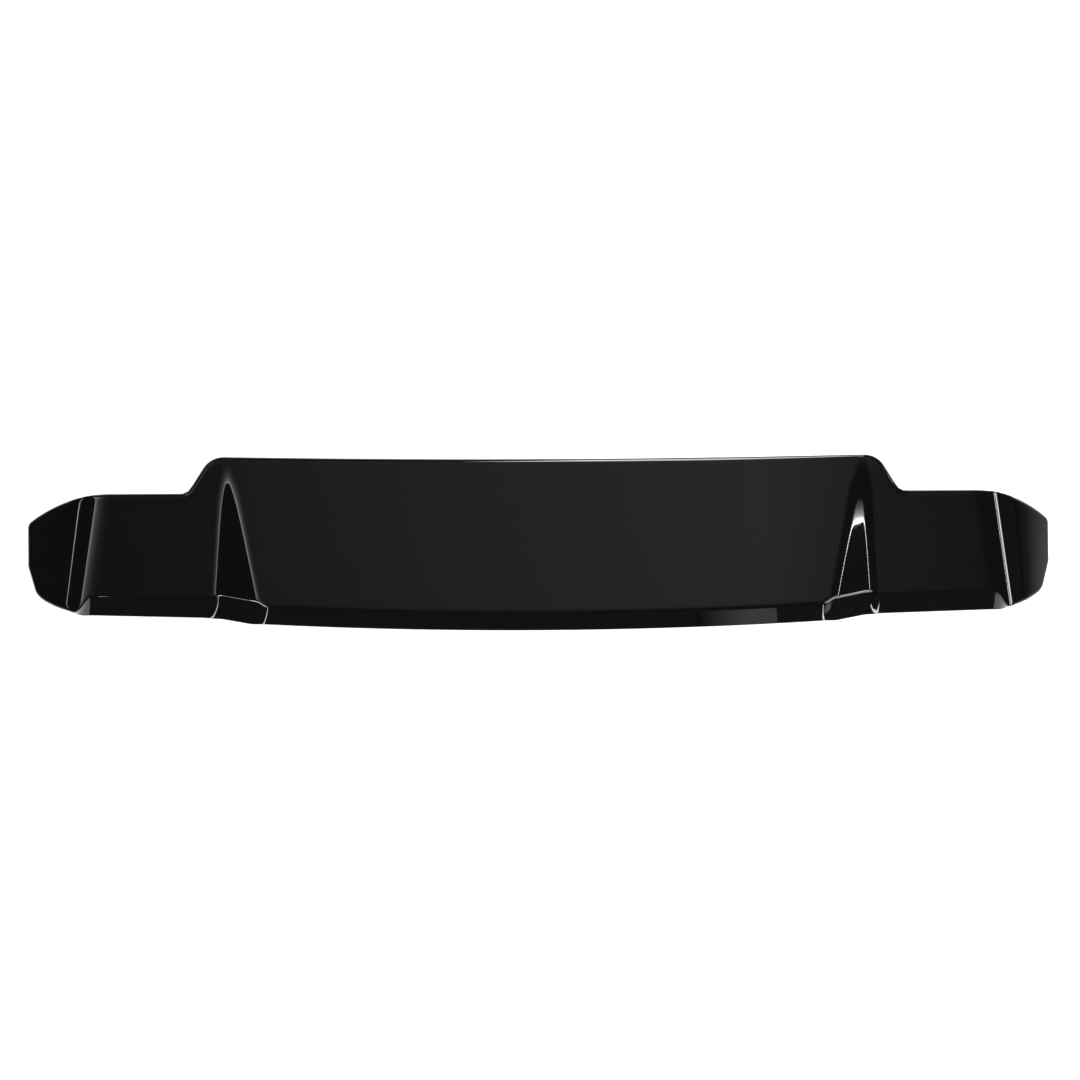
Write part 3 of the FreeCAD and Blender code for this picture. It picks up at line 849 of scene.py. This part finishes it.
def ramp_level(tree, value, stops):
    """A strength that follows a value through straight stops (value, strength)."""
    low, high = stops[0][0], stops[-1][0]
    most = max(strength for _, strength in stops)
    share = add_node(tree, "ShaderNodeMapRange", {"Value": value, "From Min": low, "From Max": high})
    curve = add_node(tree, "ShaderNodeFloatCurve", {"Value": share.outputs["Result"]})
    line = curve.mapping.curves[0]
    line.points[0].location = (0, stops[0][1] / most)
    line.points[1].location = (1, stops[-1][1] / most)
    for where, strength in stops[1:-1]:
        line.points.new((where - low) / (high - low), strength / most)
    for point in line.points:
        point.handle_type = "VECTOR"
    curve.mapping.update()
    return add_node(tree, "ShaderNodeMath", {0: curve.outputs[0], 1: most}, operation="MULTIPLY").outputs[0]


def panel_material(name, across, along=None):
    """A light panel whose strength follows its width and its depth."""
    material, tree, output = new_material(name)
    place = add_node(tree, "ShaderNodeTexCoord").outputs["Object"]
    axes = add_node(tree, "ShaderNodeSeparateXYZ", {0: place})
    level = ramp_level(tree, axes.outputs["X"], across)
    if along:
        share = ramp_level(tree, axes.outputs["Y"], along)
        level = add_node(tree, "ShaderNodeMath", {0: level, 1: share}, operation="MULTIPLY").outputs[0]
    glow = add_node(tree, "ShaderNodeEmission", {"Strength": level})
    tree.links.new(glow.outputs[0], output.inputs["Surface"])
    return material


def add_panel(name, centre, aim, width, depth, across, along=None):
    """A light panel that faces its aim, with strengths given over its own width and depth in metres."""
    x, y = width / 2, depth / 2
    panel = add_plane(name, [(-x, -y, 0), (x, -y, 0), (x, y, 0), (-x, y, 0)],
                      panel_material(name, across, along))
    facing = Vector(aim) - Vector(centre)
    panel.matrix_world = Matrix.Translation(centre) @ facing.to_track_quat("Z", "Y").to_matrix().to_4x4()
    panel.visible_camera = False


def make_world():
    """Plain dim surroundings, a little lighter toward the horizon."""
    world = bpy.data.worlds.new("studio")
    bpy.context.scene.world = world
    world.use_nodes = True
    tree = world.node_tree
    tree.nodes.clear()
    place = add_node(tree, "ShaderNodeTexCoord").outputs["Generated"]
    up = add_node(tree, "ShaderNodeSeparateXYZ", {0: place})
    level = add_node(tree, "ShaderNodeMapRange", {"Value": up.outputs["Z"], "From Min": 0.0,
                                                 "From Max": 1.0, "To Min": 0.08, "To Max": 0.06})
    back = add_node(tree, "ShaderNodeBackground", {"Strength": level.outputs["Result"]})
    output = add_node(tree, "ShaderNodeOutputWorld")
    tree.links.new(back.outputs[0], output.inputs["Surface"])


def rear_place(azimuth, elevation, distance):
    """A place behind the part, turned to the right by the azimuth, both angles in degrees."""
    turn, rise = math.radians(azimuth), math.radians(elevation)
    return (distance * math.cos(rise) * math.sin(turn), -distance * math.cos(rise) * math.cos(turn),
            distance * math.sin(rise))


def light_studio(high):
    """A soft ceiling that glows at its left end, lights at both sides, and lamps behind and in front."""
    # Centre, aim, width and depth, then stops of strength over the width and the depth.
    # A level panel's own X runs to the left.
    add_panel("ceiling", (-0.1, 0, high), (-0.1, 0, 0), 5.8, 8.0,
              [(-2.9, 0.06), (-2.2, 0.12), (-1.6, 0.4), (-0.4, 0.27), (0.4, 0.16), (1.3, 0.42), (2.1, 1.3),
               (2.6, 3.2), (2.9, 8.0)],
              [(-4.0, 0.3), (-0.9, 0.55), (0.3, 1.0), (4.0, 1.6)])
    add_panel("right_strip", (6.95, -0.75, high), (6.95, -0.75, 0), 0.6, 7.5,
              [(-0.3, 90.0), (-0.24, 16.0), (-0.18, 6.0), (-0.05, 2.2), (0.1, 1.0), (0.3, 0.3)])
    add_panel("right_box", (2.07, -0.2, 1.5), (0.6, -0.2, 0.05), 1.6, 0.22, [(-0.8, 14.0), (0.8, 14.0)])
    add_panel("left_tube", (-3.16, 0, 1.62), (-0.6, 0, 0.05), 6.0, 0.014, [(-3.0, 7.0), (3.0, 7.0)])
    add_panel("right_card", (4.5, 0, 0.65), (0.6, 0, 0.65), 5.0, 1.3, [(-2.5, 1.0), (2.5, 1.0)],
              [(-0.65, 1.6), (0.05, 0.6), (0.35, 0.15), (0.65, 0.0)])
    add_panel("rear_left_lamp", rear_place(-17, 18, 2.5), (0, 0, 0), 0.11, 1.7,
              [(-0.06, 10.0), (0.06, 10.0)])
    add_panel("rear_left_box", rear_place(-35, 36, 5), (0, 0, 0), 1.6, 0.8, [(-0.8, 16.0), (0.8, 16.0)])
    add_panel("rear_right_lamp", rear_place(20, 4, 5), (0, 0, 0), 0.25, 0.8, [(-0.12, 12.0), (0.12, 12.0)])
    add_panel("rear_right_box", rear_place(50, 33, 5), (0, 0, 0), 1.8, 3.0, [(-0.9, 5.0), (0.9, 5.0)])
    add_panel("rear_card", (0.42, -1.1, 0.09), (0.42, 0, 0.09), 0.14, 0.14,
              [(-0.07, 0.7), (-0.02, 0.7), (0.07, 0.0)])
    add_panel("front_box", (0.75, 4.0, 3.0), (0.3, 0.1, 0.05), 0.65, 4.4, [(-0.33, 14.0), (0.33, 14.0)])


class SPOILER_OT_stage(bpy.types.Operator):
    """Set up the floor, the light panels and the camera"""
    bl_idname = "spoiler.stage"
    bl_label = "Studio"

    def execute(self, context):
        stage = context.scene.spoiler_stage
        half = stage.floor_side / 2
        add_plane("floor", [(-half, -half, 0), (half, -half, 0), (half, half, 0), (-half, half, 0)],
                  floor_material(stage))
        light_studio(stage.ceiling_height)
        make_world()
        place_camera(stage)
        context.scene.view_settings.view_transform = "Standard"
        return {"FINISHED"}


class SPOILER_PT_sidebar(bpy.types.Panel):
    """Lists the pieces and the studio"""
    bl_label = "Rear spoiler"
    bl_idname = "SPOILER_PT_sidebar"
    bl_space_type = "VIEW_3D"
    bl_region_type = "UI"
    bl_category = "Spoiler"

    def draw(self, context):
        for operator in OPERATORS:
            self.layout.operator(operator.bl_idname)


GROUPS = {
    "spoiler_form": SpoilerForm,
    "spoiler_underside": UndersideForm,
    "spoiler_finish": SpoilerFinish,
    "spoiler_stage": StageForm,
}
OPERATORS = (SPOILER_OT_shell, SPOILER_OT_ribs, SPOILER_OT_bosses, SPOILER_OT_stage)


def register():
    """Register the classes and give each scene its groups of sizes."""
    for item in (*GROUPS.values(), *OPERATORS, SPOILER_PT_sidebar):
        bpy.utils.register_class(item)
    for name, group in GROUPS.items():
        setattr(bpy.types.Scene, name, PointerProperty(type=group))


def unregister():
    """Undo what register does."""
    for name in GROUPS:
        delattr(bpy.types.Scene, name)
    for item in reversed((*GROUPS.values(), *OPERATORS, SPOILER_PT_sidebar)):
        bpy.utils.unregister_class(item)


def main():
    """Build the part and its studio."""
    register()
    bpy.ops.spoiler.shell()
    bpy.ops.spoiler.ribs()
    bpy.ops.spoiler.bosses()
    bpy.ops.spoiler.stage()


if __name__ == "__main__":
    main()
